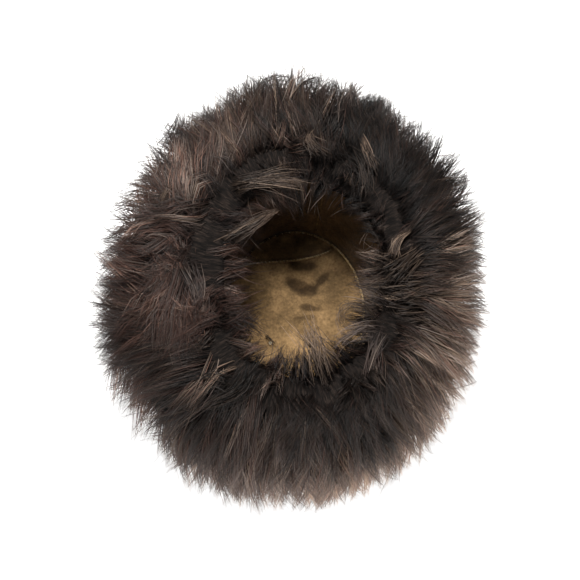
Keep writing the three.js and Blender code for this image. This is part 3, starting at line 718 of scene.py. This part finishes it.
def fur_pad():
    """The crown's pressed fur, a flat pad that the hat lies on."""
    columns = 240
    bearing = np.linspace(0, 2 * math.pi, columns, endpoint=False)
    teeth = np.random.default_rng(80).normal(0, 1, columns)
    ragged = around(REACH, bearing) * (0.95 + 0.04 * smooth_noise(79, 9)(bearing * 5, 0) + 0.014 * teeth)
    rows = []
    for out, height in PAD_SECTION:
        reach = out * ragged if out > 60 else np.full(columns, float(out))
        rows.append(wall(bearing, np.full(columns, float(height)), reach))
    verts = np.concatenate(rows)
    faces = ring_grid(len(rows), columns, False)
    caps = []
    c = np.arange(columns)
    for ring, height in ((0, 0.0), (len(rows) - 1, PAD_MIDDLE_HEIGHT)):
        verts = np.concatenate([verts, [[CX, CY, height]]])
        start = ring * columns
        caps.append(np.stack([start + c, start + (c + 1) % columns, np.full(columns, len(verts) - 1)], -1))
    caps[0] = caps[0][:, ::-1]
    tri = turned_outward(verts, np.concatenate([faces[:, [0, 1, 2]], faces[:, [0, 2, 3]], *caps]))
    uv = hair_map(tri, columns, len(rows))
    ob = mesh_object("fur_depth_crown", verts, tri, DEPTH_FUR, uv, map_name="Hair")
    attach(ob, "root")
    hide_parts("crown_fur")


fur_mass()
fur_pad()
for spec in (
    # name, locks, t from and to, clumps in a lock, hairs in a clump, joints in a hair, start, width
    ("fur_foot", 46, (0.0, 0.16), 6, 10, 3, 0.4, 0.5),
    ("fur_low", 76, (0.1, 0.42), 6, 11, 3, 0.4, 0.5),
    ("fur_side", 104, (0.38, 0.74), 6, 11, 3, 0.35, 0.5),
    ("fur_shoulder", 140, (0.7, 0.97), 7, 11, 3, 0.3, 0.42),
    ("fur_rim", 98, (0.92, 1.05), 7, 11, 4, 0.08, 0.4),
    ("fur_crest", 78, (1.02, 1.17), 7, 11, 4, 0.0, 0.38),
    ("fur_mouth", 70, (1.29, 1.5), 7, 11, 4, 0.0, 0.34, CROWD),
):
    fur_piece(*spec)
styled_locks("fur_locks")
curly_hairs("fur_curls", 420)

# The soft folds of the crown's skin, and where the seams run
CROWN_FOLDS = [
    # across, along, wide, long, turn, depth, in shares as on the solids
    (0.0, -0.05, 0.75, 0.75, 0, 0.03),
    (0.09, 0.31, 0.3, 0.11, -12, 0.024),
    (0.46, 0.42, 0.24, 0.07, 48, 0.014),
    (0.19, 0.02, 0.2, 0.08, 4, 0.016),
    (-0.35, -0.45, 0.3, 0.12, 30, 0.01),
]
CROSS_SEAM = [(-0.95, 0.57), (-0.4, 0.6), (0.1, 0.645), (0.42, 0.72), (0.8, 0.9)]
SIDE_SEAM = math.radians(74)


def crown_sag(x, y):
    """How far the crown sags at points given from its middle."""
    u, w = x / CROWN_HALF[0], y / CROWN_HALF[1]
    sag = 0
    for across, along, wide, long, turn, depth in CROWN_FOLDS:
        c, s = math.cos(math.radians(turn)), math.sin(math.radians(turn))
        du, dw = u - across, w - along
        far = ((du * c + dw * s) / wide) ** 2 + ((dw * c - du * s) / long) ** 2
        sag = sag + depth * DEPTH * np.exp(-far)
    return sag * (1 - np.minimum(1, u * u + w * w) ** 3)


# Darker, dented places of the crown, in millimetres from its middle: its dents and stains, partly painted
# shadow cast by the hair over the rim; the rows near y 70 are painted shade from the far wall, and the broad
# last row is painted shade over the middle and far part that leaves the near left lighter
STAINS_AND_PAINTED_SHADE = [
    # x, y, half width, half height, turn in degrees, how dark
    (5.5, 49, 15, 6, -4, 0.9), (2, 28, 12, 8, -24, 0.9), (12, 22, 11, 6, 20, 0.85),
    (25, 32, 13, 3.4, 48, 0.75), (14, 5, 11, 3.4, -4, 0.75), (10, -5, 10, 2.6, 8, 0.5),
    (-4, 66, 26, 10, 0, 0.6), (-30, 74, 18, 9, 20, 0.5), (14, 72, 18, 9, -20, 0.6),
    (-22, -8, 9, 3, -30, 0.2), (30, -30, 14, 10, 0, 0.2), (34, 14, 5, 12, -20, 0.15),
    (-30, 20, 6, 12, 14, 0.15), (18, 24, 64, 44, 0, 0.22),
]


def stain_and_painted_shade(x, y):
    """How dark the crown's suede is at points given from its middle, 0 to 1: its stains and dents, with
    painted shade.
    """
    rough = 0.35 * np.sin(x / 3.1 + 1.7 * np.sin(y / 4.3)) + 0.35 * np.sin(y / 2.7 + 1.9 * np.sin(x / 5.1))
    left = 1.0
    for at_x, at_y, wide, high, turn, size in STAINS_AND_PAINTED_SHADE:
        c, s = math.cos(math.radians(turn)), math.sin(math.radians(turn))
        dx, dy = x - at_x, y - at_y
        far = np.hypot((dx * c + dy * s) / wide, (dy * c - dx * s) / high) + 0.3 * rough
        left = left * (1 - size / (1 + np.exp(9 * (far - 0.95))))
    return 1 - left


def crown_piece():
    """The crown's suede: both of its pieces, with the fine wrinkles of soft skin."""
    columns, rings = 168, 46
    bearing = np.linspace(0, 2 * math.pi, columns, endpoint=False)
    share = np.linspace(1, 0.0, rings + 1)[:-1]
    wrinkle = smooth_noise(31, 10, 3)
    half = (CROWN_HALF[0] - 0.4, CROWN_HALF[1] - 0.4)
    rows = []
    for s in share:
        x, y = np.cos(bearing) * half[0] * s, np.sin(bearing) * half[1] * s
        fine = 0.22 * wrinkle(x / 9 + 0.3 * np.sin(y / 7), y / 8) * min(1, (1 - s) * 6)
        near_seam = math.exp(-((1 - s) / 0.06) ** 2)
        off_seam = 1 - math.exp(-((1 - s) / 0.02) ** 2)
        pucker = 0.25 * np.sin(bearing * 46 + 2 * np.sin(bearing * 5)) * near_seam * off_seam
        rows.append(np.stack([CX + x, CY + y, CROWN_Z - crown_sag(x, y) + fine + pucker], -1))
    top = np.concatenate([*rows, [[CX, CY, CROWN_Z - crown_sag(0.0, 0.0)]]])
    below = []
    low_share = (1.0, 0.8, 0.6, 0.4, 0.2)
    for s in low_share:
        x, y = np.cos(bearing) * half[0] * s, np.sin(bearing) * half[1] * s
        below.append(np.stack([CX + x, CY + y, CROWN_Z - SKIN - crown_sag(x, y)], -1))
    bottom = np.concatenate([*below, [[CX, CY, CROWN_Z - SKIN - crown_sag(0.0, 0.0)]]])
    verts = np.concatenate([top, bottom])
    x, y = top[:, 0] - CX, top[:, 1] - CY
    line = crown_line(CROSS_SEAM, 20)
    behind = y - np.interp(x, line[:, 0], line[:, 1])
    # Painted shadow of the cross seam's raised edge on the suede just behind it
    seam_shadow = 0.7 * np.exp(-((behind - 2.5) / 2.2) ** 2)
    # The crown's shade: stains and dents with painted shade, and the painted shadow behind the cross seam
    shade = np.concatenate([1 - (1 - stain_and_painted_shade(x, y)) * (1 - seam_shadow), np.zeros(len(bottom))])
    grid = ring_grid(rings, columns, False)
    base = len(top)
    low_grid = ring_grid(len(low_share), columns, False)[:, ::-1] + base
    c = np.arange(columns)
    tri = [grid[:, [0, 1, 2]], grid[:, [0, 2, 3]], low_grid[:, [0, 1, 2]], low_grid[:, [0, 2, 3]]]
    last = (rings - 1) * columns
    tri.append(np.stack([last + c, last + (c + 1) % columns, np.full(columns, len(top) - 1)], -1))
    last = base + (len(low_share) - 1) * columns
    tri.append(np.stack([last + (c + 1) % columns, last + c, np.full(columns, len(verts) - 1)], -1))
    tri.append(np.stack([c, base + c, base + (c + 1) % columns], -1))
    tri.append(np.stack([c, base + (c + 1) % columns, (c + 1) % columns], -1))
    faces = turned_outward(verts, np.concatenate(tri))
    ob = mesh_object("crown_suede", verts, faces, SUEDE, shade=shade)
    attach(ob, "root")
    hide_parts("crown_main", "crown_segment")


def band_piece():
    """The band's skin, with the soft dents of its wall and painted shade on its far side."""
    columns, levels = 200, 37
    bearing = np.linspace(0, 2 * math.pi, columns, endpoint=False)
    dents = smooth_noise(41, 9, 1.2)
    fine = smooth_noise(43, 12, 6)
    rows = []
    for share in np.linspace(0, 1, levels):
        z = CROWN_Z - SKIN + (RIM_Z - CROWN_Z + SKIN) * share
        free = math.sin(math.pi * min(1, max(0, share))) ** 0.5
        out = free * (0.9 * (dents(bearing, share * 2) - 0.6) + 0.18 * fine(bearing * 3, share * 3))
        rows.append(wall(bearing, np.full(columns, z), np.minimum(out, 0.4)))
    for share in (1, 0.75, 0.5, 0.25, 0):
        z = CROWN_Z - SKIN + (RIM_Z - CROWN_Z + SKIN) * share
        rows.append(wall(bearing, np.full(columns, z), np.full(columns, SKIN)))
    verts = np.concatenate(rows)
    faces = turned_outward(verts, ring_grid(len(rows), columns, True))
    # Painted shade on the wall's far side, which lies in the shadow of the far rim and its hair, with a
    # little everywhere
    painted_wall_shade = 0.7 * np.exp(-(turned(bearing, SHADED_WALL_SIDE) / 0.9) ** 4) + 0.05
    ob = mesh_object("band_suede", verts, faces, SUEDE, shade=np.tile(painted_wall_shade, len(rows)))
    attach(ob, "root")
    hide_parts("side_band")


def welt(name, centre, up, across, width, height, closed, node, seed, dark):
    """A folded raw edge along points centre (n, 3), with up and across directions and a shade at each."""
    own = np.random.default_rng(seed)
    n = len(centre)
    wobble = np.convolve(own.normal(0, 1, n + 8), np.ones(9) / 9, "valid")[:n]
    tall = height * (0.82 + 0.35 * np.clip(wobble, -1, 1))
    lean = 0.35 * width * np.convolve(own.normal(0, 1, n + 8), np.ones(9) / 9, "valid")[:n]
    section = [(-0.5, 0.0), (-0.42, 0.5), (-0.18, 0.96), (-0.02, 0.8), (0.12, 1.0), (0.4, 0.55), (0.5, 0.0)]
    rows = [centre + across * (a * width + b * lean)[:, None] + up * (b * tall)[:, None] for a, b in section]
    verts = np.stack(rows, 1)
    k = len(section)
    verts = verts.reshape(-1, 3)
    r, c = np.meshgrid(np.arange(n if closed else n - 1), np.arange(k), indexing="ij")
    r2, c2 = (r + 1) % n, (c + 1) % k
    faces = np.stack([r * k + c, r * k + c2, r2 * k + c2, r2 * k + c], -1).reshape(-1, 4)
    tri = [faces[:, [0, 1, 2]], faces[:, [0, 2, 3]]]
    if not closed:
        first = np.array([(0, i + 1, i) for i in range(1, k - 1)])
        last = np.array([(0, i, i + 1) for i in range(1, k - 1)]) + (n - 1) * k
        tri += [first, last]
    # How dark the edge is: the shade given, with a random mottle along it; on the crown seam's far part and
    # on the side seam this is painted shade
    grime_and_painted_shade = np.clip(dark + 0.25 * np.convolve(own.normal(0, 1, n + 8), np.ones(9) / 3, "valid")[:n], 0, 1)
    ob = mesh_object(name, verts, turned_outward(verts, np.concatenate(tri)), EDGE, shade=np.repeat(grime_and_painted_shade, k))
    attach(ob, "root")
    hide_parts(node)


def crown_line(share_points, steps):
    """A smooth line through places given in shares of the crown's half-axes, from its middle."""
    control = np.array([(a * CROWN_HALF[0], b * CROWN_HALF[1]) for a, b in share_points])
    padded = np.concatenate([[2 * control[0] - control[1]], control, [2 * control[-1] - control[-2]]])
    line = []
    for i in range(len(control) - 1):
        p0, p1, p2, p3 = padded[i:i + 4]
        for s in np.linspace(0, 1, steps, endpoint=i == len(control) - 2):
            line.append(between(p0, p1, p2, p3, s))
    return np.array(line)


THREAD_RADIUS = 0.26

# The knots of thread on the crown, in millimetres from its middle: x, y, size
KNOTS = [(-25.6, -32.2, 1.3), (-42.0, -58.0, 1.1)]
KNOT_RADIUS = 0.75


def stitches(name, middle, across, wide, step):
    """Short threads laid over a seam, one at every step of its points."""
    joints = 5
    place = np.linspace(-1, 1, joints)
    at = np.arange(step, len(middle) - step, step)
    slant = 0.6 * (middle[at + 1] - middle[at - 1])
    slant = slant / np.linalg.norm(slant, axis=1, keepdims=True)
    reach = place[None, :, None] * (across[at][:, None] * wide / 2 + slant[:, None] * 0.5)
    arch = np.stack([np.zeros(joints), np.zeros(joints), 0.7 * (1 - place**2)], -1)[None]
    points = middle[at][:, None] + reach + arch
    none = np.zeros(len(at))
    along = np.zeros((len(at), joints))
    ob = strand_mesh(name, points, np.full(len(at), THREAD_RADIUS), none.astype(int), none, along, THREAD)
    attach(ob, "root")


def thread_nub():
    """The small knots of thread on the crown, each with an end that stands up."""
    joints, count = 26, len(KNOTS)
    turns = np.linspace(0, 2.4 * 2 * math.pi, joints)
    ball = np.sin(np.linspace(0.3, 2.8, joints))
    knots = []
    for x, y, size in KNOTS:
        out_x, out_y = size * ball * np.cos(turns), size * ball * np.sin(turns)
        height = CROWN_Z - crown_sag(x, y) + 0.4 + size * np.linspace(0, 1.6, joints)
        knots.append(np.stack([CX + x + out_x, CY + y + out_y, height], -1))
    none, along = np.zeros(count), np.zeros((count, joints))
    radius = np.full(count, KNOT_RADIUS)
    ob = strand_mesh("thread_nubs", np.stack(knots), radius, none.astype(int), none, along, THREAD)
    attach(ob, "root")


def seams():
    """The edges and stitches of the seam round the crown, the one across it and the one up the wall."""
    n = 420
    bearing = np.linspace(0, 2 * math.pi, n, endpoint=False)
    inner = wall(bearing, np.full(n, CROWN_Z + 0.4), np.full(n, -1.9))
    level = np.full(n, CROWN_Z)
    across = wall(bearing, level, np.full(n, 1.0)) - wall(bearing, level, np.full(n, 0.0))
    up = np.tile([0.0, 0.0, 1.0], (n, 1))
    # Painted shade on the crown seam's far part, which lies in the far wall's shadow
    far = np.exp(-(turned(bearing, DARK_SEAM_SIDE) / 0.85) ** 4)
    welt("crown_seam_edge", inner, up, across, 2.4, 1.9, True, "crown_seam", 51, 0.1 + 0.9 * far)
    stitches("crown_seam_stitches", inner + up * 1.2, across, 2.0, 7)
    line = crown_line(CROSS_SEAM, 60)
    inside = np.hypot(line[:, 0] / CROWN_HALF[0], line[:, 1] / CROWN_HALF[1]) < 0.92
    line = line[inside]
    z = CROWN_Z + 0.45 - crown_sag(line[:, 0], line[:, 1])
    centre = np.stack([CX + line[:, 0], CY + line[:, 1], z], -1)
    along = np.gradient(line, axis=0)
    along /= np.linalg.norm(along, axis=1, keepdims=True)
    side = np.stack([along[:, 1], -along[:, 0], np.zeros(len(line))], -1)
    up = np.tile([0.0, 0.0, 1.0], (len(line), 1))
    welt("cross_seam_edge", centre, up, side, 2.0, 1.7, False, "cross_seam", 52, np.full(len(line), 0.2))
    stitches("cross_seam_stitches", centre + up * 1.1, side, 1.8, 6)
    z = np.linspace(CROWN_Z + 3.0, RIM_Z - 0.6, 90)
    b = np.full(len(z), SIDE_SEAM)
    centre = wall(b, z, np.full(len(z), -0.7))
    inward = wall(b, z, np.full(len(z), -1.0)) - wall(b, z, np.zeros(len(z)))
    along = np.gradient(centre, axis=0)
    side = np.cross(inward, along)
    side /= np.linalg.norm(side, axis=1, keepdims=True)
    # The side seam, up the far wall in its shadow, is darkened with painted shade
    welt("side_seam_edge", centre, inward, side, 1.9, 1.3, False, "side_seam", 53, np.full(len(z), 0.45))


crown_piece()
band_piece()
seams()
thread_nub()


def floor_and_light():
    """A pale floor, a soft key light from above and a fill from the front."""
    white, _, _, shader = new_material("studio_floor")
    shader.inputs["Base Color"].default_value = (0.7, 0.7, 0.7, 1)
    shader.inputs["Roughness"].default_value = 1.0
    shader.inputs["Specular IOR Level"].default_value = 0.0
    shader.inputs["Emission Color"].default_value = (1, 1, 1, 1)
    shader.inputs["Emission Strength"].default_value = 0.84
    size, below = 20000, -0.2
    corners = ((-size, -size), (size, -size), (size, size), (-size, size))
    verts = np.array([(x, y, below) for x, y in corners], float)
    floor = mesh_object("floor", verts, np.array([(0, 1, 2, 3)]), white, smooth=False)
    world = bpy.data.worlds.new("studio")
    scene.world = world
    world.use_nodes = True
    sky = world.node_tree.nodes["Background"]
    sky.inputs["Color"].default_value = (1.0, 1.0, 1.0, 1)
    sky.inputs["Strength"].default_value = 0.24
    for name, place, size, power, colour in (
        ("key", (-100, 300, 1290), 280, 28, (1.0, 0.985, 0.96)),
        ("fill", (300, -1300, 310), 600, 18, (1.0, 0.985, 0.965)),
    ):
        data = bpy.data.lights.new(name, "AREA")
        data.shape, data.size, data.energy, data.color = "DISK", size * MM, power, colour
        ob = bpy.data.objects.new(name, data)
        ob.location = Vector((CX + place[0], CY + place[1], place[2])) * MM
        aim = Vector((CX, CY, 100)) * MM - ob.location
        ob.rotation_mode = "QUATERNION"
        ob.rotation_quaternion = aim.to_track_quat("-Z", "Y")
        scene.collection.objects.link(ob)


# The camera: its tilts from straight above to the front and to the left, in degrees, its distance from the
# rim and its shift to the left and down, in metres, and its lens and sensor in millimetres
TILT_FRONT = 15
TILT_LEFT = 2.2
DISTANCE = 0.9
SHIFT_LEFT = 0.0107
SHIFT_DOWN = 0.0089
LENS = 62.8
SENSOR = 36


def camera():
    """The photo's view, almost straight down into the hat."""
    front, left = math.radians(TILT_FRONT), math.radians(TILT_LEFT)
    back = Vector((-math.sin(left), -math.sin(front), math.cos(front))).normalized()
    right = Vector((0, 1, 0)).cross(back).normalized()
    up = back.cross(right)
    rim = Vector((CX, CY, RIM_Z)) * MM
    data = bpy.data.cameras.new("camera")
    data.lens, data.sensor_width = LENS, SENSOR
    data.clip_start, data.clip_end = 0.05, 20
    ob = bpy.data.objects.new("camera", data)
    ob.location = rim + back * DISTANCE - right * SHIFT_LEFT - up * SHIFT_DOWN
    ob.rotation_mode = "QUATERNION"
    ob.rotation_quaternion = Matrix((right, up, back)).transposed().to_quaternion()
    scene.collection.objects.link(ob)
    scene.camera = ob


floor_and_light()
camera()
scene.view_settings.view_transform = "Standard"
